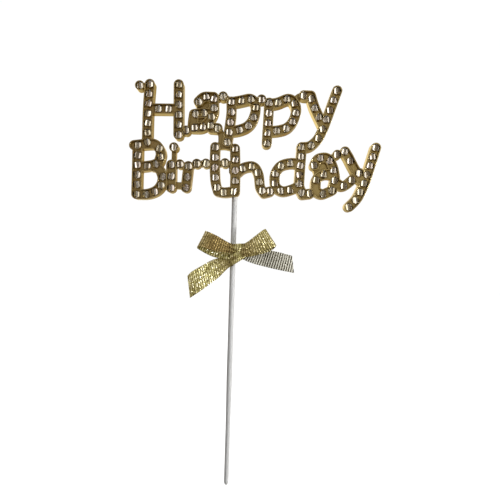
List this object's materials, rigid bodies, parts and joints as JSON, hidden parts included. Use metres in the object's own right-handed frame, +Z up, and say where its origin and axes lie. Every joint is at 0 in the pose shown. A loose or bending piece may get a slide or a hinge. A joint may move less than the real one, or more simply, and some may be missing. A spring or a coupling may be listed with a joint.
{
  "type": "cake topper",
  "caption": "Cake topper: a plated panel of joined greeting letters set with faceted stones, on a tapered plastic stick with a ribbon bow that slides and turns.",
  "frame": {"origin": "on the stick's axis, at the upper end of the lower pin, the line down to which it is pushed into the cake", "axes": "+Z up along the stick, -Y towards the side that the letters are read from, +X to the reader's right"},
  "size_m": [0.1326, 0.0105, 0.2141],
  "materials": {
    "plated_gold": "metallised gold plating on moulded plastic",
    "stone": "faceted, foil-backed, clear",
    "stick_plastic": "white, satin",
    "hot_melt": "milky, set from the melt",
    "ribbon": "woven metallic thread, ribbed"
  },
  "bodies": {
    "topper": {"letter_panel": "plated_gold", "stones_01_h": "stone", "stones_02_a": "stone", "stones_03_p": "stone", "stones_04_p": "stone", "stones_05_y": "stone", "stones_06_b": "stone", "stones_07_i": "stone", "stones_08_r": "stone", "stones_09_t": "stone", "stones_10_h": "stone", "stones_11_d": "stone", "stones_12_a": "stone", "stones_13_y": "stone", "stick": "stick_plastic", "hot_melt_pad": "hot_melt"},
    "wrap": {"bow_wrap": "ribbon"},
    "bow": {"bow_knot": "ribbon", "bow_loop_left": "ribbon", "bow_loop_right": "ribbon", "bow_tail_left": "ribbon", "bow_tail_right": "ribbon"}
  },
  "joints": [
    {"name": "bow_slide", "type": "slide", "parent": "topper", "child": "wrap", "axis": [0, 0, 1], "range_m": [-0.058, 0.012]},
    {"name": "bow_turn", "type": "hinge", "parent": "wrap", "child": "bow", "pos_m": [0, 0, 0.09], "axis": [0, 0, 1], "continuous": true}
  ]
}
